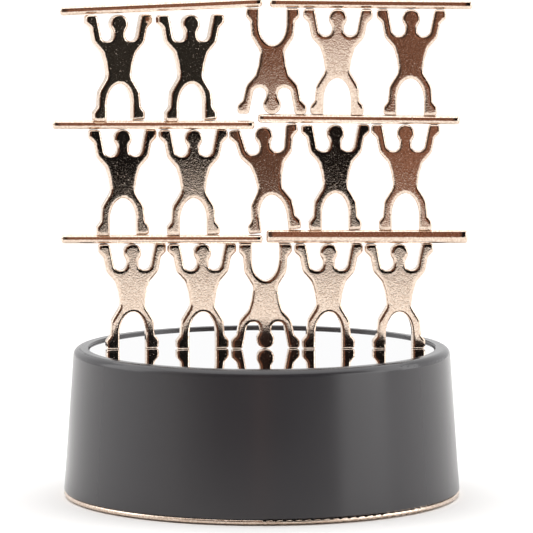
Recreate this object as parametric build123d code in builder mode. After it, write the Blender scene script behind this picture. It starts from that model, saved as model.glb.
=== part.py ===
"""Magnetic desk sculpture: loose steel figures and bars stacked on a magnetic base.

Units are millimetres, +Z is up and -Y is the front. The origin is the centre of
the base's underside, on the surface that the sculpture stands on.
"""

from build123d import *
from math import atan2, cos, degrees, radians, sin, tan
import os

os.makedirs("parts", exist_ok=True)

# Base, from the table up
pad_thickness = 0.3
pad_inset = 3.0
plate_thickness = 1.2
plate_edge_round = 0.55
base_height = 37.0          # table to the top of the rim
base_foot_radius = 49.25
base_top_radius = 46.7
rim_round = 1.8
wall = 2.5
mirror_radius = 43.0
mirror_thickness = 1.2
mirror_recess = 0.6         # the rim stands this far above the mirror
mirror_gap = 0.1            # all round the mirror, so that it drops in
mirror_edge_round = 0.25
tape_thickness = 0.2
tape_inset = 0.8            # from the hole in the ledge, and from the mirror's edge
ledge_thickness = 2.5

# Magnet stack under the mirror
magnet_radius = 35.0
magnet_bore = 16.0
magnet_height = 15.0
magnet_chamfer = 0.5
magnet_gap = 0.6            # between the magnet and the hole in the ledge
backing_thickness = 2.0
clamp_thickness = 2.5
clamp_outer = 36.0
clamp_bore = 22.0
ear_length = 11.5
ear_width = 8.4
ear_round = 3.0
ear_shift = 1.9             # the ears reach further inwards than outwards from the screws

# Screws, all on one circle, three for the clamp and three for the bottom plate
screw_circle = 39.6
clamp_angle = 90
cover_angle = 30
boss_radius = 3.4
rib_thickness = 1.6
rib_reach = 46.9            # the ribs end inside the wall
pilot_radius = 1.35
pilot_depth = 12.0
screw_radius = 1.3
clearance_radius = 1.6
pan_head_radius = 2.8
pan_head_height = 1.7
pan_head_round = 0.57
sunk_head_radius = 2.4
sunk_head_height = 1.1
sunk_head_clearance = 0.05
clamp_screw_length = 11.0
cover_screw_length = 9.0
socket_width = 1.5          # hexagon socket, across flats
socket_depth = 0.9

# The stamped figure, in its own frame: soles on z = 0, thickness along Y
figure_height = 26.2
figure_thickness = 3.0
figure_edge_round = 0.4
hand_reach = 8.55           # centre line to the outside of the hand
hand_round = 0.8
foot_inside = 3.35
foot_outside = 6.6
toe_round = 0.7
crotch_height = 9.1
arch_centre_height = 3.6

# The rolled bar
bar_length = 50.0
bar_width = 3.4
bar_thickness = 2.15
bar_edge_round = 0.8

# How the pieces stand
line_y = 1.5                # the wall of figures stands a little behind the middle
touch_gap = 0.02            # left between a piece and what it rests on
balance_lean = 6.8          # degrees, the figure that straddles two bars
balance_x = 3.35

# Each figure of a row: its place along X, its turn about the vertical in degrees
# (positive shows its left side), how far it nods forward in degrees, and whether it
# stands on its head
row_1 = (
    (-32.3, 12, 0.0, False),
    (-14.9, 11, 0.0, False),
    (0.8, 5, 0.0, True),
    (16.5, 7, 0.0, False),
    (34.0, 8, 0.0, False),
)
row_2_left = ((-34.6, 12, 0.0, False), (-17.1, 9, 0.9, False))
row_2_right = ((18.1, 8, 0.2, False), (35.6, -2, 0.6, False))
row_3_left = ((-35.5, 19, 0.0, False), (-17.7, 18, 0.0, False))
row_3_right = ((2.5, -2, 2.8, True), (18.6, -2, 4.4, False), (36.7, -3, 2.3, False))
balance_turn = -3

# Left end of each bar along X
bar_row1_left_end = -49.8
bar_row1_right_end = 1.1
bar_row2_left_end = -51.8
bar_row2_right_end = -1.0
bar_top_left_end = -49.8
bar_top_right_end = 1.7

# Heights worked out from the dimensions above
plate_bottom = pad_thickness
housing_bottom = plate_bottom + plate_thickness
mirror_top = base_height - mirror_recess
mirror_bottom = mirror_top - mirror_thickness
ledge_top = mirror_bottom - tape_thickness
ledge_bottom = ledge_top - ledge_thickness
magnet_bottom = mirror_bottom - magnet_height
backing_bottom = magnet_bottom - backing_thickness
clamp_bottom = backing_bottom - clamp_thickness
ledge_bore = magnet_radius + magnet_gap
seat_radius = mirror_radius + mirror_gap
wall_slope = (base_foot_radius - base_top_radius) / (base_height - housing_bottom)
ledge_outer = base_foot_radius - wall_slope * (ledge_bottom - housing_bottom) - wall
sole_half_width = figure_thickness / 2 - figure_edge_round      # the flat of the sole

up = Align.MIN
down = Align.MAX
middle = Align.CENTER


# ---------------------------------------------------------------- housing
# A tapered moulded cup, open below. Its top is a narrow rim round a shallow seat for
# the mirror, with a round hole in the seat that lets the magnet touch the mirror.
# Six ribbed bosses inside take the screws of the magnet clamp and of the bottom plate.
with BuildPart() as housing:
    with BuildSketch(Plane.XZ):
        with BuildLine():
            shell = FilletPolyline(
                (ledge_bore, ledge_top),
                (seat_radius, ledge_top),
                (seat_radius, base_height),
                (base_top_radius, base_height),
                (base_foot_radius, housing_bottom),
                (base_foot_radius - wall, housing_bottom),
                (ledge_outer, ledge_bottom),
                (ledge_bore, ledge_bottom),
                radius=(0, 0.3, rim_round, 0.3, 0.3, 2.0),
            )
            Line(shell @ 1, shell @ 0)
        make_face()
    revolve(axis=Axis.Z)

    for boss_angle, boss_foot in ((clamp_angle, backing_bottom), (cover_angle, housing_bottom)):
        with BuildSketch(Plane.XY.offset(boss_foot)):
            with PolarLocations(screw_circle, 3, start_angle=boss_angle):
                Circle(boss_radius)
                Rectangle(rib_reach - screw_circle, rib_thickness, align=(up, middle))
        extrude(amount=ledge_bottom - boss_foot)
        with BuildSketch(Plane.XY.offset(boss_foot)):
            with PolarLocations(screw_circle, 3, start_angle=boss_angle):
                Circle(pilot_radius)
        extrude(amount=pilot_depth, mode=Mode.SUBTRACT)
housing.part.label = "housing"
export_step(housing.part, "parts/housing.step")


# ---------------------------------------------------------------- mirror and its tape
# The mirror is a polished, chrome-plated steel disc. The magnet pulls the figures
# through it, and a ring of double-sided tape holds it down on the ledge.
with BuildPart() as mirror_disc:
    with BuildSketch(Plane.XY.offset(mirror_bottom)):
        Circle(mirror_radius)
    extrude(amount=mirror_thickness)
    fillet(mirror_disc.faces().sort_by(Axis.Z)[-1].edges(), mirror_edge_round)
mirror_disc.part.label = "mirror_disc"
export_step(mirror_disc.part, "parts/mirror_disc.step")

with BuildPart() as mirror_tape:
    with BuildSketch(Plane.XY.offset(ledge_top)):
        Circle(mirror_radius - tape_inset)
        Circle(ledge_bore + tape_inset, mode=Mode.SUBTRACT)
    extrude(amount=tape_thickness)
mirror_tape.part.label = "mirror_tape"
export_step(mirror_tape.part, "parts/mirror_tape.step")


# ---------------------------------------------------------------- magnet stack
# A ferrite ring stands against the mirror's underside, with a steel plate below it
# that closes its field, and a moulded clamp with three ears that holds both up.
with BuildPart() as ring_magnet:
    with BuildSketch(Plane.XY.offset(magnet_bottom)):
        Circle(magnet_radius)
        Circle(magnet_bore, mode=Mode.SUBTRACT)
    extrude(amount=magnet_height)
    chamfer(ring_magnet.edges().filter_by(GeomType.CIRCLE), magnet_chamfer)
ring_magnet.part.label = "ring_magnet"
export_step(ring_magnet.part, "parts/ring_magnet.step")

with BuildPart() as backing_plate:
    with BuildSketch(Plane.XY.offset(backing_bottom)):
        Circle(magnet_radius)
    extrude(amount=backing_thickness)
    chamfer(backing_plate.edges(), magnet_chamfer)
backing_plate.part.label = "backing_plate"
export_step(backing_plate.part, "parts/backing_plate.step")

with BuildPart() as magnet_clamp:
    with BuildSketch(Plane.XY.offset(clamp_bottom)):
        Circle(clamp_outer)
        with PolarLocations(screw_circle - ear_shift, 3, start_angle=clamp_angle):
            RectangleRounded(ear_length, ear_width, ear_round)
        Circle(clamp_bore, mode=Mode.SUBTRACT)
        with PolarLocations(screw_circle, 3, start_angle=clamp_angle):
            Circle(clearance_radius, mode=Mode.SUBTRACT)
    extrude(amount=clamp_thickness)
magnet_clamp.part.label = "magnet_clamp"
export_step(magnet_clamp.part, "parts/magnet_clamp.step")

with BuildPart() as clamp_screws:
    with PolarLocations(screw_circle, 3, start_angle=clamp_angle):
        with Locations((0, 0, clamp_bottom)):
            Cylinder(screw_radius, clamp_screw_length, align=(middle, middle, up))
            Cylinder(pan_head_radius, pan_head_height, align=(middle, middle, down))
    fillet(clamp_screws.faces().group_by(Axis.Z)[0].edges(), pan_head_round)
    with BuildSketch(Plane.XY.offset(clamp_bottom - pan_head_height)):
        with PolarLocations(screw_circle, 3, start_angle=clamp_angle):
            RegularPolygon(socket_width / 2, 6, major_radius=False)
    extrude(amount=socket_depth, mode=Mode.SUBTRACT)
clamp_screws.part.label = "clamp_screws"
export_step(clamp_screws.part, "parts/clamp_screws.step")


# ---------------------------------------------------------------- bottom of the base
# A steel plate with a polished, rounded edge closes the housing. Three countersunk
# screws hold it, and a thin soft pad stuck over them keeps the base from sliding.
with BuildPart() as bottom_plate:
    with BuildSketch(Plane.XY.offset(plate_bottom)):
        Circle(base_foot_radius)
    extrude(amount=plate_thickness)
    fillet(bottom_plate.edges(), plate_edge_round)
    with PolarLocations(screw_circle, 3, start_angle=cover_angle):
        with Locations((0, 0, plate_bottom)):
            Cylinder(clearance_radius, plate_thickness, align=(middle, middle, up), mode=Mode.SUBTRACT)
            Cone(
                sunk_head_radius + sunk_head_clearance,
                sunk_head_radius + sunk_head_clearance - sunk_head_height,
                sunk_head_height,
                align=(middle, middle, up),
                mode=Mode.SUBTRACT,
            )
bottom_plate.part.label = "bottom_plate"
export_step(bottom_plate.part, "parts/bottom_plate.step")

with BuildPart() as cover_screws:
    with PolarLocations(screw_circle, 3, start_angle=cover_angle):
        with Locations((0, 0, plate_bottom)):
            Cone(
                sunk_head_radius,
                sunk_head_radius - sunk_head_height,
                sunk_head_height,
                align=(middle, middle, up),
            )
            Cylinder(screw_radius, cover_screw_length, align=(middle, middle, up))
    with BuildSketch(Plane.XY.offset(plate_bottom)):
        with PolarLocations(screw_circle, 3, start_angle=cover_angle):
            RegularPolygon(socket_width / 2, 6, major_radius=False)
    extrude(amount=socket_depth, mode=Mode.SUBTRACT)
cover_screws.part.label = "cover_screws"
export_step(cover_screws.part, "parts/cover_screws.step")

with BuildPart() as foot_pad:
    with BuildSketch(Plane.XY):
        Circle(base_foot_radius - pad_inset)
    extrude(amount=pad_thickness)
foot_pad.part.label = "foot_pad"
export_step(foot_pad.part, "parts/foot_pad.step")


# ---------------------------------------------------------------- the stamped figure
# A little man with raised arms and bowed legs, cut from plate and tumbled until every
# edge is round. His head and both hands reach the same height, so that he stands as
# well upside down. Half of the outline runs from the crotch round the foot and the
# arm to the top of the head, and the other half mirrors it.
with BuildPart() as figure:
    with BuildSketch(Plane.XZ):
        with BuildLine():
            EllipticalCenterArc(
                (0, arch_centre_height),
                foot_inside,
                crotch_height - arch_centre_height,
                start_angle=0,
                arc_size=90,
            )
            FilletPolyline(
                (foot_inside, arch_centre_height),
                (foot_inside, 0),                       # heel
                (foot_outside, 0),                      # toe
                (foot_outside, 2.05),
                (5.55, 3.35),                           # ankle
                (5.25, 7.15),                           # knee
                (3.0, 10.8),                            # waist
                (3.5, 14.1),
                (4.3, 16.7),                            # armpit
                (6.5, 19.2),                            # elbow
                (7.2, 22.8),                            # wrist
                (hand_reach, 24.15),
                (hand_reach, figure_height),            # hand
                (5.7, figure_height),
                (4.45, 19.65),                          # shoulder
                (1.5, 19.65),
                (1.5, 22.0),                            # neck
                (2.2, 23.3),
                (2.2, figure_height),                   # crown of the head
                (0, figure_height),
                radius=(
                    0.0, toe_round, 0.7, 1.0, 2.5, 2.5, 6.0, 2.0, 2.5, 1.0,
                    0.8, hand_round, 0.7, 1.5, 1.4, 1.0, 1.4, 2.15,
                ),
            )
            mirror(about=Plane.YZ)
        make_face()
    extrude(amount=figure_thickness / 2, both=True)
    flats = figure.faces().sort_by(Axis.Y)
    fillet(flats[0].edges() + flats[-1].edges(), figure_edge_round)


# ---------------------------------------------------------------- the rolled bar
# Lying flat, centred in X and Y, with its underside on z = 0.
with BuildPart() as flat_bar:
    Box(bar_length, bar_width, bar_thickness, align=(middle, middle, up))
    fillet(flat_bar.edges(), bar_edge_round)


def turn(angle):
    """Turn about the vertical."""
    return Location((0, 0, 0), (0, 0, 1), angle)


def tip(angle):
    """Tip about the front-to-back axis, so that the right end goes down."""
    return Location((0, 0, 0), (0, 1, 0), angle)


def nod(angle):
    """Nod forward about the sole, with the sole's front edge still on the ground."""
    lift = sole_half_width * sin(radians(angle))
    return Location((0, 0, lift), (1, 0, 0), angle)


def stand_height(figures):
    """Height of the tallest of some figures, over the ground that they stand on."""
    heights = []
    for _, _, nodded, _ in figures:
        angle = radians(nodded)
        heights.append(figure_height * cos(angle) + 2 * sole_half_width * sin(angle))
    return max(heights)


def on_its_head(inverted):
    """Stand the figure on its head, with its soles up, or leave it."""
    return Location((0, 0, figure_height), (0, 1, 0), 180) if inverted else Location()


def write_piece(blank, place, node):
    """Write one copy of a repeated piece, as a node of its own."""
    with BuildPart() as piece:
        add(blank.part.moved(place))
    piece.part.label = node
    export_step(piece.part, f"parts/{node}.step")


def write_row(figures, first, row, ground):
    """Write some of a row's figures, standing on the location that ground gives for an x."""
    for number, (x, turned, nodded, inverted) in enumerate(figures, start=first):
        place = ground(x) * turn(turned) * nod(nodded) * on_its_head(inverted)
        write_piece(figure, place, f"figure_row{row}_{number}")


def level(z):
    """Level ground at height z, for a row that stands on it."""
    return lambda x: Location((x, line_y, z))


def bar_centre(left_end):
    """Middle of a level bar along X, from its left end."""
    return left_end + bar_length / 2


# ---------------------------------------------------------------- row 1
row_1_soles = mirror_top + touch_gap
row_1_hands = row_1_soles + stand_height(row_1)
write_row(row_1, 1, 1, level(row_1_soles))

# The left bar lies flat, and the right one stands on its narrow side.
bar_1_bottom = row_1_hands + touch_gap
left_bar_1 = Location((bar_centre(bar_row1_left_end), line_y, bar_1_bottom))
write_piece(flat_bar, left_bar_1, "bar_row1_left")
on_edge = Location((0, 0, bar_width / 2), (1, 0, 0), 90) * Location((0, 0, -bar_thickness / 2))
right_bar_1 = Location((bar_centre(bar_row1_right_end), line_y, bar_1_bottom)) * on_edge
write_piece(flat_bar, right_bar_1, "bar_row1_right")


# ---------------------------------------------------------------- row 2
left_2_soles = bar_1_bottom + bar_thickness + touch_gap
right_2_soles = bar_1_bottom + bar_width + touch_gap
right_2_hands = right_2_soles + stand_height(row_2_right)
write_row(row_2_left, 1, 2, level(left_2_soles))
write_row(row_2_right, 4, 2, level(right_2_soles))

# The middle figure leans to the left, with the inside of its right sole on the higher
# bar and its left foot held just above the lower one by the pull between them.
lean = radians(balance_lean)
balance_z = right_2_soles - foot_inside * sin(lean)
balance_place = Location((balance_x, line_y, balance_z)) * tip(-balance_lean) * turn(balance_turn)
write_piece(figure, balance_place, "figure_row2_3")

left_bar_2_bottom = left_2_soles + stand_height(row_2_left) + touch_gap
left_bar_2 = Location((bar_centre(bar_row2_left_end), line_y, left_bar_2_bottom))
write_piece(flat_bar, left_bar_2, "bar_row2_left")

# The right bar rests on the leaning figure's right hand and on the last figure's
# right hand, so it falls a little towards the right.
hand_top_x = hand_reach - hand_round
hand_top_z = figure_height - hand_round
high_hand_x = balance_x + hand_top_x * cos(lean) - hand_top_z * sin(lean)
high_hand_z = balance_z + hand_top_x * sin(lean) + hand_top_z * cos(lean) + hand_round
last_x, last_turn, _, _ = row_2_right[-1]
low_hand_x = last_x + hand_top_x * cos(radians(last_turn))
fall = atan2(high_hand_z - right_2_hands, low_hand_x - high_hand_x)
right_bar_2_x = bar_centre(bar_row2_right_end)
right_bar_2_z = high_hand_z + touch_gap - (right_bar_2_x - high_hand_x) * tan(fall)
right_bar_2 = Location((right_bar_2_x, line_y, right_bar_2_z)) * tip(degrees(fall))
write_piece(flat_bar, right_bar_2, "bar_row2_right")


# ---------------------------------------------------------------- row 3
left_3_soles = left_bar_2_bottom + bar_thickness + touch_gap
left_3_hands = left_3_soles + stand_height(row_3_left)
write_row(row_3_left, 1, 3, level(left_3_soles))


def on_right_bar(x, height=0.0):
    """The sloping top of row 2's right bar, or a plane at some height above it."""
    along = (x - right_bar_2_x) / cos(fall)
    return right_bar_2 * Location((along, 0, bar_thickness + touch_gap + height))


write_row(row_3_right, 3, 3, on_right_bar)

right_3_height = stand_height(row_3_right)
top_right_bar = on_right_bar(bar_centre(bar_top_right_end), right_3_height + touch_gap)
write_piece(flat_bar, top_right_bar, "bar_top_right")

# The top left bar rests on the first figure's left hand and on the raised left foot
# of the figure that stands on its head, so it climbs towards the right.
first_x, first_turn, _, _ = row_3_left[0]
first_hand_x = first_x - hand_top_x * cos(radians(first_turn))
headstand_x = row_3_right[0][0]
raised_foot = on_right_bar(headstand_x - foot_outside + toe_round, right_3_height).position
climb = atan2(raised_foot.Z - left_3_hands, raised_foot.X - first_hand_x)
top_left_bar_x = bar_centre(bar_top_left_end)
top_left_bar_z = left_3_hands + touch_gap + (top_left_bar_x - first_hand_x) * tan(climb)
top_left_bar = Location((top_left_bar_x, line_y, top_left_bar_z)) * tip(-degrees(climb))
write_piece(flat_bar, top_left_bar, "bar_top_left")
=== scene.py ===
# %% [markdown]
# # A magnetic desk sculpture, finished in Blender
#
# The object is a black moulded base with a mirror on top and a wall of small steel
# figures and bars, held in place by a magnet under the mirror. The shapes and sizes
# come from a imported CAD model, the frame. Blender adds the finishes, the soft worn
# surface of the figures, the light and the camera.

import math

import bpy
import numpy as np
from mathutils import Matrix, Vector


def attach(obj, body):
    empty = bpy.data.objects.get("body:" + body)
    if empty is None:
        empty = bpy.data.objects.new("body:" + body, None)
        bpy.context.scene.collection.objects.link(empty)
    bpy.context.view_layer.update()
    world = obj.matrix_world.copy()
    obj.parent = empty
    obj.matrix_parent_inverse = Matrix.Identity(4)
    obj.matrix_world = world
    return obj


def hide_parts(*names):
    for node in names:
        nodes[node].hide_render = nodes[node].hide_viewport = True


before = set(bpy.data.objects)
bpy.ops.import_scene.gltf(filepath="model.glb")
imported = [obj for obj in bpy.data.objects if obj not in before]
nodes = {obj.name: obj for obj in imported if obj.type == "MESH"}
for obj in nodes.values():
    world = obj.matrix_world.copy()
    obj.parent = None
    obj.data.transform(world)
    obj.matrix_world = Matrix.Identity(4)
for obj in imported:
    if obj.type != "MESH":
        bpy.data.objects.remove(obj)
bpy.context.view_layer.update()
figure_names = sorted(name for name in nodes if name.startswith("figure_"))
bar_names = sorted(name for name in nodes if name.startswith("bar_"))
print("loaded", len(nodes), "nodes,", len(figure_names), "figures,", len(bar_names), "bars")

# %% [markdown]
# ## Small tools
#
# Colours are written as sRGB hex values, as a colour picker shows them, and one
# function turns them into the linear numbers that a shader works with. One more
# function adds a node, sets its values and links its inputs, so that every finish
# below reads as a short list of nodes. Two others only gather input values that many
# finishes share. Lengths are in metres in Blender, so a pattern's scale is one over
# its real size.

# %% Colours, nodes and sizes
MM = 0.001


def linear(hex_colour):
    """A colour picker's hex colour as the linear values of a shader."""
    parts = [int(hex_colour[i:i + 2], 16) / 255 for i in (1, 3, 5)]
    return [c / 12.92 if c <= 0.04045 else ((c + 0.055) / 1.055) ** 2.4 for c in parts] + [1.0]


def add_node(tree, kind, links=None, inputs=None, **settings):
    """Adds one node: its settings, its plain input values and the sockets that feed it."""
    node = tree.nodes.new(kind)
    for name, value in settings.items():
        setattr(node, name, value)
    for name, value in (inputs or {}).items():
        node.inputs[name].default_value = value
    for name, socket in (links or {}).items():
        tree.links.new(socket, node.inputs[name])
    return node


def per_mm(size_mm):
    """The texture scale whose features are that many millimetres across."""
    return 1.0 / (size_mm * MM)


def cloudy(size_mm, detail=2.0, roughness=0.5):
    """The input values of a noise whose clouds are that many millimetres across."""
    return {"Scale": per_mm(size_mm), "Detail": detail, "Roughness": roughness}


def from_to(low, high, from_low=0.1, from_high=0.9):
    """The input values that turn a pattern, which runs round 0.5, into low to high."""
    return {"From Min": from_low, "From Max": from_high, "To Min": low, "To Max": high}


print("white is", linear("#FFFFFF")[:3])

# %% [markdown]
# ## A finish starts empty
#
# A new material in Blender comes with nodes of its own. Every finish here starts from
# a cleared tree with one Principled shader, so that nothing is in it but what the
# cell says. Values that are the same all over go straight onto the shader.

# %% Finishes
def new_finish(name):
    """An empty material, its node tree and its Principled shader."""
    finish = bpy.data.materials.new(name)
    finish.use_nodes = True
    tree = finish.node_tree
    tree.nodes.clear()
    shader = add_node(tree, "ShaderNodeBsdfPrincipled")
    add_node(tree, "ShaderNodeOutputMaterial", {"Surface": shader.outputs["BSDF"]})
    return finish, tree, shader


def set_values(shader, **values):
    """Sets values that are the same all over the surface on the shader's own sockets."""
    for name, value in values.items():
        shader.inputs[name.replace("_", " ")].default_value = value


def coat_node(name, finish):
    """Gives a CAD node that finish."""
    mesh = nodes[name].data
    mesh.materials.clear()
    mesh.materials.append(finish)


print("ready for", len(nodes), "nodes")

# %% [markdown]
# ## The black base: moulded ABS
#
# The housing is injection moulded in black ABS. Fresh from the mould it has a soft
# gloss: a faint grain blurs what it reflects, and handling leaves a few duller
# patches. The plastic itself is nearly black, and most of what the eye sees is the
# reflection of the table and the room in its surface.

# %% Black moulded ABS
HANDLED_MM = 30.0               # patches that hands have dulled
ABS_GRAIN_MM = 0.5              # real mould grain is about 0.1 mm; coarser here, to show
ABS_GRAIN_DEPTH = 0.01 * MM

black_abs, tree, shader = new_finish("black moulded ABS")
set_values(shader, Base_Color=linear("#302E31"), Metallic=0.0, IOR=1.53)
place = add_node(tree, "ShaderNodeTexCoord").outputs["Object"]
handled = add_node(tree, "ShaderNodeTexNoise", {"Vector": place}, cloudy(HANDLED_MM, detail=0.0))
grain = add_node(tree, "ShaderNodeTexNoise", {"Vector": place}, cloudy(ABS_GRAIN_MM, detail=3.0))
gloss = add_node(tree, "ShaderNodeMapRange", {"Value": handled.outputs["Fac"]},
                 from_to(0.16, 0.25), interpolation_type="SMOOTHERSTEP")
tree.links.new(gloss.outputs["Result"], shader.inputs["Roughness"])
skin = add_node(tree, "ShaderNodeBump", {"Height": grain.outputs["Fac"]},
                {"Strength": 0.35, "Distance": ABS_GRAIN_DEPTH})
tree.links.new(skin.outputs["Normal"], shader.inputs["Normal"])
coat_node("housing", black_abs)
print("finish:", black_abs.name)

# %% [markdown]
# ## The mirror: polished chrome on steel
#
# The disc on top is steel, ground, polished and chrome plated. It reflects nearly
# everything, so its own colour is all but white. Handling leaves a thin haze, and
# polishing leaves a ripple too slight to see except in what it reflects.

# %% Polished chrome
HAZE_MM = 14.0
RIPPLE_MM = 20.0
RIPPLE_DEPTH = 0.02 * MM

chrome, tree, shader = new_finish("polished chrome plate")
set_values(shader, Base_Color=linear("#F9F9FA"), Metallic=1.0)
place = add_node(tree, "ShaderNodeTexCoord").outputs["Object"]
haze = add_node(tree, "ShaderNodeTexNoise", {"Vector": place}, cloudy(HAZE_MM, detail=4.0))
gloss = add_node(tree, "ShaderNodeMapRange", {"Value": haze.outputs["Fac"]},
                 from_to(0.015, 0.05), interpolation_type="SMOOTHERSTEP")
tree.links.new(gloss.outputs["Result"], shader.inputs["Roughness"])
polish = add_node(tree, "ShaderNodeTexNoise", {"Vector": place}, cloudy(RIPPLE_MM, detail=1.0))
ripple = add_node(tree, "ShaderNodeBump", {"Height": polish.outputs["Fac"]},
                  {"Strength": 0.2, "Distance": RIPPLE_DEPTH})
tree.links.new(ripple.outputs["Normal"], shader.inputs["Normal"])
coat_node("mirror_disc", chrome)
print("finish:", chrome.name)

# %% [markdown]
# ## The loose pieces: steel with a warm nickel plate
#
# Figures and bars are steel, tumbled with stones until their edges are round, and
# nickel plated. The plate is warm, like pale champagne. Tumbling leaves a pebbled
# skin on the flat faces, which scatters the reflections into speckles, while the
# rounded edges stay bright. One function makes the finish, so that the bars can have
# a shallower skin than the figures.

# %% Nickel-plated steel
PLATE_LIGHT = "#EEDDCD"         # in the hollows of the pebbled skin
PLATE_DARK = "#CDB5A2"          # on its high points
GRIT_MM = 0.36                  # real pebbling is about 0.1 mm; coarser here, to show
CLOUD_MM = 5.0                  # slow changes of gloss over a piece
SPECK_WIDTH = 1.3               # dull specks, as a share of the pebbles' width
SPECK_HEIGHT = 0.6              # and of their height
SPECK_DULLNESS = 0.4            # how much rougher a speck is than the plate round it
SPECK_FROM, SPECK_FULL = 0.62, 0.72     # only the peaks of the noise are specks


def nickel_plate(name, grit_mm, grit_depth_mm, rough):
    """Warm nickel on tumbled steel: a pebbled skin, small dull specks and a cloudy gloss."""
    finish, tree, shader = new_finish(name)
    set_values(shader, Metallic=1.0)
    place = add_node(tree, "ShaderNodeTexCoord").outputs["Object"]
    cloud = add_node(tree, "ShaderNodeTexNoise", {"Vector": place}, cloudy(CLOUD_MM, detail=3.0))
    grit = add_node(tree, "ShaderNodeTexNoise", {"Vector": place}, cloudy(grit_mm, roughness=0.6))
    grains = add_node(tree, "ShaderNodeMapRange", {"Value": grit.outputs["Fac"]},
                      from_to(0.0, 1.0, 0.3, 0.7), interpolation_type="SMOOTHERSTEP")
    tone = add_node(tree, "ShaderNodeMix", {"Factor": grains.outputs["Result"]},
                    {"A": linear(PLATE_LIGHT), "B": linear(PLATE_DARK)}, data_type="RGBA")
    tree.links.new(tone.outputs["Result"], shader.inputs["Base Color"])
    speck = add_node(tree, "ShaderNodeTexNoise", {"Vector": place},
                     cloudy(grit_mm * SPECK_WIDTH, detail=3.0, roughness=0.7))
    dull = add_node(tree, "ShaderNodeMapRange", {"Value": speck.outputs["Fac"]},
                    from_to(0.0, SPECK_DULLNESS, SPECK_FROM, SPECK_FULL),
                    interpolation_type="SMOOTHERSTEP")
    gloss = add_node(tree, "ShaderNodeMapRange", {"Value": cloud.outputs["Fac"]},
                     from_to(rough[0], rough[1]), interpolation_type="SMOOTHERSTEP")
    specked = add_node(tree, "ShaderNodeMath",
                       {0: gloss.outputs["Result"], 1: dull.outputs["Result"]}, operation="ADD")
    tree.links.new(specked.outputs["Value"], shader.inputs["Roughness"])
    skin = add_node(tree, "ShaderNodeBump", {"Height": grit.outputs["Fac"]},
                    {"Strength": 1.0, "Distance": grit_depth_mm * MM})
    marked = add_node(tree, "ShaderNodeBump",
                      {"Height": speck.outputs["Fac"], "Normal": skin.outputs["Normal"]},
                      {"Strength": 1.0, "Distance": grit_depth_mm * SPECK_HEIGHT * MM})
    tree.links.new(marked.outputs["Normal"], shader.inputs["Normal"])
    return finish


FIGURE_GRIT_DEPTH_MM = 0.011
BAR_GRIT_DEPTH_MM = 0.006
FIGURE_GLOSS = (0.04, 0.07)
BAR_GLOSS = (0.05, 0.09)
figure_plate = nickel_plate("tumbled steel with warm nickel plate",
                            GRIT_MM, FIGURE_GRIT_DEPTH_MM, FIGURE_GLOSS)
bar_plate = nickel_plate("drawn steel with warm nickel plate",
                         GRIT_MM, BAR_GRIT_DEPTH_MM, BAR_GLOSS)
print("finishes:", figure_plate.name, "and", bar_plate.name)

# %% [markdown]
# ## Figures and bars with tumbled edges
#
# Each figure is a 3 mm blank, and each bar a short length of flat steel. Hours in
# the tumbler have worn the corners round and crowned the faces a little. That could
# be a bevel, but a bevel has the same round everywhere. Here the CAD piece is
# rebuilt from small even cells, which can then be worn down like the metal. The
# cells lie square only if the piece does, so each piece is squared up first and put
# back afterwards.

# %% Square a piece up
CELL = 0.2 * MM


def points_of(mesh):
    """The mesh's corners as an array."""
    flat = np.empty(len(mesh.vertices) * 3)
    mesh.vertices.foreach_get("co", flat)
    return flat.reshape(-1, 3)


def square_up(points):
    """The turn that brings a flat piece's own three directions onto X, Y and Z."""
    spread_out = points - points.mean(axis=0)
    _, own = np.linalg.eigh(spread_out.T @ spread_out)
    rows = []
    for k in range(3):
        nearest = own[:, np.argmax(np.abs(own[k]))]
        rows.append(nearest if nearest[k] > 0 else -nearest)
    return Matrix(rows).to_4x4()


def even_cells(source, turn):
    """A squared-up copy of a CAD piece, rebuilt from even cells."""
    copy = bpy.data.objects.new("blank", source.data.copy())
    bpy.context.scene.collection.objects.link(copy)
    copy.data.transform(turn)
    copy.data.materials.clear()
    remesh = copy.modifiers.new("cells", "REMESH")
    remesh.mode = "VOXEL"
    remesh.voxel_size = CELL
    seen = copy.evaluated_get(bpy.context.evaluated_depsgraph_get())
    mesh = bpy.data.meshes.new_from_object(seen)
    bpy.data.objects.remove(copy)
    return mesh


print("cells of", CELL / MM, "mm")

# %% [markdown]
# ## The wear itself
#
# Wear takes most off what stands out most, and so does smoothing. A round in every
# direction takes off the corners. More rounds from front to back alone crown the
# faces without changing the outline. The bars get many more of these than the
# figures, because their faces are rounder.

# %% Wear a piece smooth
FIGURE_CORNER_ROUNDS, FIGURE_CROWN_ROUNDS = 1, 5
BAR_CORNER_ROUNDS, BAR_CROWN_ROUNDS = 1, 40


def wear(mesh, corner_rounds, crown_rounds):
    """Rounds the corners, then crowns the front and back faces."""
    points = points_of(mesh)
    ends = np.empty(len(mesh.edges) * 2, dtype=np.int32)
    mesh.edges.foreach_get("vertices", ends)
    a, b = ends.reshape(-1, 2).T
    count = np.bincount(a, minlength=len(points)) + np.bincount(b, minlength=len(points))

    def halfway_to_neighbours(values):
        total = np.bincount(a, values[b], len(points)) + np.bincount(b, values[a], len(points))
        return 0.5 * values + 0.5 * total / count

    for _ in range(corner_rounds):
        points = np.stack([halfway_to_neighbours(column) for column in points.T], axis=1)
    for _ in range(crown_rounds):
        points[:, 1] = halfway_to_neighbours(points[:, 1])
    mesh.vertices.foreach_set("co", points.ravel())


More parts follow.
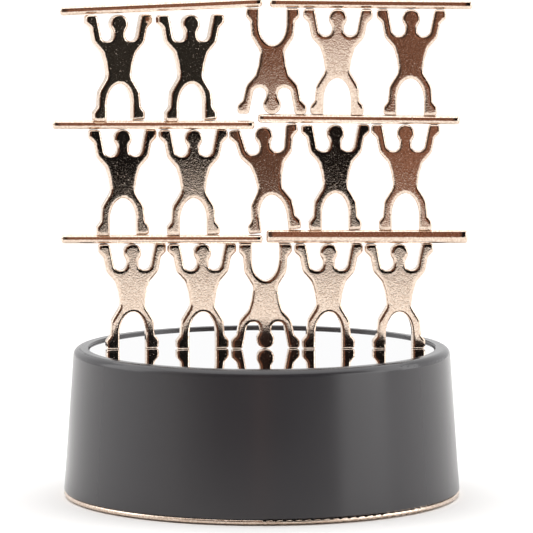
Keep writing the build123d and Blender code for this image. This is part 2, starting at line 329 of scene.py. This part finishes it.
def tumbled(name, finish, corner_rounds, crown_rounds):
    """The worn piece that stands for a CAD figure or bar."""
    source = nodes[name]
    turn = square_up(points_of(source.data))
    mesh = even_cells(source, turn)
    wear(mesh, corner_rounds, crown_rounds)
    mesh.transform(turn.inverted())
    mesh.polygons.foreach_set("use_smooth", [True] * len(mesh.polygons))
    mesh.materials.append(finish)
    mesh.name = "tumbled_" + name
    piece = bpy.data.objects.new("tumbled_" + name, mesh)
    bpy.context.scene.collection.objects.link(piece)
    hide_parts(name)
    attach(piece, name)
    return piece


figures = [tumbled(name, figure_plate, FIGURE_CORNER_ROUNDS, FIGURE_CROWN_ROUNDS)
           for name in figure_names]
bars = [tumbled(name, bar_plate, BAR_CORNER_ROUNDS, BAR_CROWN_ROUNDS)
        for name in bar_names]
print("tumbled", len(figures), "figures and", len(bars), "bars")

# %% [markdown]
# ## The foot of the base
#
# Under the housing a steel plate closes the base. Only its rounded edge shows, as a
# thin warm line above the dark foam pad that keeps the base from sliding.

# %% Plate edge
EDGE_GRIT_MM = 0.6
EDGE_GRIT_DEPTH_MM = 0.001
EDGE_GLOSS = (0.2, 0.26)        # satin, not mirror bright
SHARP_ANGLE = math.radians(40)
JOIN_WITHIN = 0.002 * MM

plate_steel = nickel_plate("polished steel plate edge",
                           EDGE_GRIT_MM, EDGE_GRIT_DEPTH_MM, EDGE_GLOSS)
coat_node("bottom_plate", plate_steel)

# The rounded edge is shaded from its own facets, joined up, and not from the normals
# that came with the CAD mesh.
plate_mesh = nodes["bottom_plate"].data
plate_mesh.attributes.remove(plate_mesh.attributes["custom_normal"])
plate_mesh.polygons.foreach_set("use_smooth", [True] * len(plate_mesh.polygons))
plate_mesh.set_sharp_from_angle(angle=SHARP_ANGLE)
joined = nodes["bottom_plate"].modifiers.new("join facets", "WELD")
joined.merge_threshold = JOIN_WITHIN
print("finish:", plate_steel.name)

# %% [markdown]
# ## The pad
#
# The pad is black EVA, a closed-cell foam cut from sheet. It is quite matt, because
# its skin is a mass of small cells. The cells are drawn as bump, because they are
# too small to change the pad's outline.

# %% Foam pad
FOAM_CELL_MM = 0.4              # real cells are about 0.2 mm; coarser here, to show
FOAM_CELL_DEPTH = 0.08 * MM

foam, tree, shader = new_finish("black EVA foam")
set_values(shader, Base_Color=linear("#1E1C1D"), Metallic=0.0, IOR=1.45, Roughness=0.9)
place = add_node(tree, "ShaderNodeTexCoord").outputs["Object"]
cells = add_node(tree, "ShaderNodeTexVoronoi", {"Vector": place}, {"Scale": per_mm(FOAM_CELL_MM)})
pores = add_node(tree, "ShaderNodeBump", {"Height": cells.outputs["Distance"]},
                 {"Strength": 0.6, "Distance": FOAM_CELL_DEPTH})
tree.links.new(pores.outputs["Normal"], shader.inputs["Normal"])
coat_node("foot_pad", foam)
print("finish:", foam.name)

# %% [markdown]
# ## The magnet
#
# The ring magnet is closed in, with the backing, the clamp, the screws and the tape.
# Each still has the finish of the real part, for when the base is opened. Ferrite is
# a pressed and fired ceramic, ground flat: dark grey, a little uneven, with a broad
# dull gloss.

# %% Ground ferrite
FERRITE_CLOUD_MM = 1.2
FERRITE_DEPTH = 0.03 * MM

ferrite, tree, shader = new_finish("ground ferrite")
set_values(shader, Metallic=0.0, IOR=1.9, Roughness=0.55)
place = add_node(tree, "ShaderNodeTexCoord").outputs["Object"]
sintered = add_node(tree, "ShaderNodeTexNoise", {"Vector": place},
                    cloudy(FERRITE_CLOUD_MM, detail=5.0, roughness=0.65))
shade = add_node(tree, "ShaderNodeValToRGB", {"Fac": sintered.outputs["Fac"]})
shade.color_ramp.elements[0].color = linear("#2B2B2D")
shade.color_ramp.elements[1].color = linear("#4A4A4C")
tree.links.new(shade.outputs["Color"], shader.inputs["Base Color"])
ground = add_node(tree, "ShaderNodeBump", {"Height": sintered.outputs["Fac"]},
                  {"Strength": 0.5, "Distance": FERRITE_DEPTH})
tree.links.new(ground.outputs["Normal"], shader.inputs["Normal"])
coat_node("ring_magnet", ferrite)
print("finish:", ferrite.name)

# %% [markdown]
# ## Backing plate and screws
#
# These are steel under a thin coat of zinc, the usual guard against rust where
# nobody looks. The zinc forms crystals, so the grey changes a little from one to the
# next, and the gloss with it.

# %% Zinc-plated steel
SPANGLE_MM = 2.0

zinc, tree, shader = new_finish("zinc-plated steel")
set_values(shader, Metallic=1.0)
place = add_node(tree, "ShaderNodeTexCoord").outputs["Object"]
spangle = add_node(tree, "ShaderNodeTexVoronoi", {"Vector": place}, {"Scale": per_mm(SPANGLE_MM)})
shade = add_node(tree, "ShaderNodeValToRGB", {"Fac": spangle.outputs["Distance"]})
shade.color_ramp.elements[0].color = linear("#C2C5C8")
shade.color_ramp.elements[1].color = linear("#AEB1B6")
tree.links.new(shade.outputs["Color"], shader.inputs["Base Color"])
gloss = add_node(tree, "ShaderNodeMapRange", {"Value": spangle.outputs["Distance"]},
                 from_to(0.25, 0.4, 0.0, 1.0), interpolation_type="SMOOTHERSTEP")
tree.links.new(gloss.outputs["Result"], shader.inputs["Roughness"])
for name in ("backing_plate", "clamp_screws", "cover_screws"):
    coat_node(name, zinc)
print("finish:", zinc.name)

# %% [markdown]
# ## Clamp and tape
#
# The clamp is moulded in undyed nylon, which is milky and half glossy. The tape is a
# pale fibre carrier with glue on both sides, and quite matt. Both have a fine skin,
# made the same way, so one loop finishes both.

# %% Nylon and tape
SKIN_DEPTH = 0.02 * MM
# The node, the finish, its colour, IOR and roughness, and the texture of its skin.
CLAMP_AND_TAPE = (
    ("magnet_clamp", "natural nylon", "#D8D3C4", 1.53, 0.45, cloudy(0.6, detail=3.0)),
    ("mirror_tape", "adhesive tape", "#E2DFD6", 1.45, 0.7, cloudy(0.8, detail=4.0)),
)
for node_name, finish_name, colour, ior, rough, texture in CLAMP_AND_TAPE:
    finish, tree, shader = new_finish(finish_name)
    set_values(shader, Base_Color=linear(colour), Metallic=0.0, IOR=ior, Roughness=rough)
    place = add_node(tree, "ShaderNodeTexCoord").outputs["Object"]
    fine = add_node(tree, "ShaderNodeTexNoise", {"Vector": place}, texture)
    skin = add_node(tree, "ShaderNodeBump", {"Height": fine.outputs["Fac"]},
                    {"Strength": 0.4, "Distance": SKIN_DEPTH})
    tree.links.new(skin.outputs["Normal"], shader.inputs["Normal"])
    coat_node(node_name, finish)
    print("finish:", finish.name)

# %% [markdown]
# ## The table
#
# The sculpture stands on a table covered with white paper. The part that polished
# metal reflects ends a little in front of it, and the darker room beyond shows in
# the polished faces. The strip in front is there for the eye and for the light, but
# glossy rays pass through it.

# %% Table
TABLE_FRONT = -0.54
TABLE_SIZE = 9.0


def table_top(name, y_from, y_to, x_half):
    """A level sheet of the table at height zero."""
    mesh = bpy.data.meshes.new(name)
    corners = [(-x_half, y_from, 0), (x_half, y_from, 0), (x_half, y_to, 0), (-x_half, y_to, 0)]
    mesh.from_pydata(corners, [], [(0, 1, 2, 3)])
    piece = bpy.data.objects.new(name, mesh)
    bpy.context.scene.collection.objects.link(piece)
    return piece


paper, tree, shader = new_finish("white paper")
set_values(shader, Base_Color=linear("#F2F1F0"), Metallic=0.0, IOR=1.45, Roughness=0.85)
table = table_top("table", TABLE_FRONT, TABLE_SIZE, TABLE_SIZE)
strip = table_top("table_front", -TABLE_SIZE, TABLE_FRONT, TABLE_SIZE)
strip.visible_glossy = False
for piece in (table, strip):
    piece.data.materials.append(paper)
print("table ends", -TABLE_FRONT, "m in front for polished metal")

# %% [markdown]
# ## The room
#
# A soft white room lights the sculpture from above, behind and both sides. The wall
# behind the viewer is left dark and warm, so the upright faces of the pieces read
# as dark metal and their rounded edges catch the white. The walls are one colour
# ramp, read by the direction round the room, and higher up they fade into white.

# %% Room light
FADE_FROM = math.radians(42)    # how far up the walls start to fade
FADE_TO = math.radians(62)      # and how far up all is ceiling
# Degrees round from straight in front, more to the right, and the wall's colour there.
WALLS = ((-84, "#FFFFFF"), (-56, "#E6E0DA"), (-42, "#968E88"), (-24, "#4A3A30"), (-10, "#4E3E38"),
         (-6, "#5C463C"), (-2, "#A17561"), (3, "#8A5F4C"), (8, "#2E2422"), (16, "#1A1818"),
         (26, "#1C1D1E"), (35, "#30302E"), (44, "#4A4845"), (60, "#8A8680"), (88, "#FFFFFF"))


def on_circle(degrees_from_front):
    """A direction round the room as a place on the colour ramp."""
    return 0.5 + degrees_from_front / 360


world = bpy.data.worlds.new("studio")
bpy.context.scene.world = world
world.use_nodes = True
tree = world.node_tree
tree.nodes.clear()
ray = add_node(tree, "ShaderNodeTexCoord").outputs["Generated"]
ray_parts = add_node(tree, "ShaderNodeSeparateXYZ", {"Vector": ray})
front = add_node(tree, "ShaderNodeMath", {0: ray_parts.outputs["Y"]}, {1: -1.0},
                 operation="MULTIPLY")
sideways = add_node(tree, "ShaderNodeMath",
                    {0: ray_parts.outputs["X"], 1: front.outputs["Value"]}, operation="ARCTAN2")
turned = add_node(tree, "ShaderNodeMapRange", {"Value": sideways.outputs["Value"]},
                  from_to(0.0, 1.0, -math.pi, math.pi))
round_room = add_node(tree, "ShaderNodeValToRGB", {"Fac": turned.outputs["Result"]})
ramp = round_room.color_ramp
while len(ramp.elements) < len(WALLS):
    ramp.elements.new(0.5)
for element, (turn, colour) in zip(ramp.elements, WALLS):
    element.position = on_circle(turn)
    element.color = linear(colour)
upward = add_node(tree, "ShaderNodeMapRange", {"Value": ray_parts.outputs["Z"]},
                  from_to(0.0, 1.0, math.sin(FADE_FROM), math.sin(FADE_TO)))
room = add_node(tree, "ShaderNodeMix",
                {"Factor": upward.outputs["Result"], "A": round_room.outputs["Color"]},
                {"B": linear("#FFFFFF")}, data_type="RGBA")
glow = add_node(tree, "ShaderNodeBackground", {"Color": room.outputs["Result"]}, {"Strength": 1.0})
add_node(tree, "ShaderNodeOutputWorld", {"Surface": glow.outputs["Background"]})
print("room has", len(WALLS), "tones round the walls")

# %% [markdown]
# ## Lamps
#
# Two soft boxes stand at the sides and a smaller one low at the front right. They
# are large for such a small object, so that shadows stay soft. The ceiling has a
# light of its own, even all over the table.

# %% Soft boxes and ceiling
AIM_AT = Vector((0, 0, 0.06))   # about the middle of the sculpture
SIDE_DISTANCE = 1.2
SIDE_BEHIND = 0.1
SIDE_HEIGHT = 0.6
SIDE_SIZE = 0.9
SIDE_WATTS = 4.0
FRONT_PLACE = (1.06, -0.56, 0.16)
FRONT_SIZE = 0.7
FRONT_WATTS = 3.2
CEILING_STRENGTH = 1.6
CEILING_SPREAD = math.radians(90)
CEILING_LEAN = math.radians(-8)


def soft_box(name, place, size, watts):
    """A square soft box that points at the sculpture."""
    lamp = bpy.data.lights.new(name, "AREA")
    lamp.shape = "SQUARE"
    lamp.size = size
    lamp.energy = watts
    box = bpy.data.objects.new(name, lamp)
    box.location = place
    aim = AIM_AT - Vector(place)
    box.rotation_euler = aim.to_track_quat("-Z", "Y").to_euler()
    bpy.context.scene.collection.objects.link(box)
    return box


soft_box("left soft box", (-SIDE_DISTANCE, SIDE_BEHIND, SIDE_HEIGHT), SIDE_SIZE, SIDE_WATTS)
soft_box("right soft box", (SIDE_DISTANCE, SIDE_BEHIND, SIDE_HEIGHT), SIDE_SIZE, SIDE_WATTS)
soft_box("front right soft box", FRONT_PLACE, FRONT_SIZE, FRONT_WATTS)

ceiling = bpy.data.lights.new("lit ceiling", "SUN")
ceiling.energy = CEILING_STRENGTH
ceiling.angle = CEILING_SPREAD
ceiling_lamp = bpy.data.objects.new("lit ceiling", ceiling)
ceiling_lamp.rotation_euler = (CEILING_LEAN, 0.0, 0.0)
bpy.context.scene.collection.objects.link(ceiling_lamp)
print("three soft boxes and a lit ceiling")

# %% [markdown]
# ## The camera
#
# The sculpture is seen from the front, from about a metre away and a little above
# the mirror, through a long lens that keeps its upright lines nearly parallel.

# %% Camera
CAMERA_DISTANCE = 1.07
CAMERA_HEIGHT = 0.1706
CAMERA_SIDE = 0.00116
CAMERA_TILT_DOWN = math.radians(6.06)
FOCAL_LENGTH = 292.9            # this and the sensor's width are in millimetres
SENSOR_WIDTH = 36.0
NEAREST_SEEN = 0.05
FARTHEST_SEEN = 40.0

lens = bpy.data.cameras.new("long lens")
lens.sensor_width = SENSOR_WIDTH
lens.lens = FOCAL_LENGTH
lens.clip_start = NEAREST_SEEN
lens.clip_end = FARTHEST_SEEN
camera = bpy.data.objects.new("camera", lens)
camera.location = (CAMERA_SIDE, -CAMERA_DISTANCE, CAMERA_HEIGHT)
camera.rotation_euler = (math.pi / 2 - CAMERA_TILT_DOWN, 0.0, 0.0)
bpy.context.scene.collection.objects.link(camera)
bpy.context.scene.camera = camera
bpy.context.scene.view_settings.view_transform = "Standard"
print("camera stands", CAMERA_DISTANCE, "m in front")
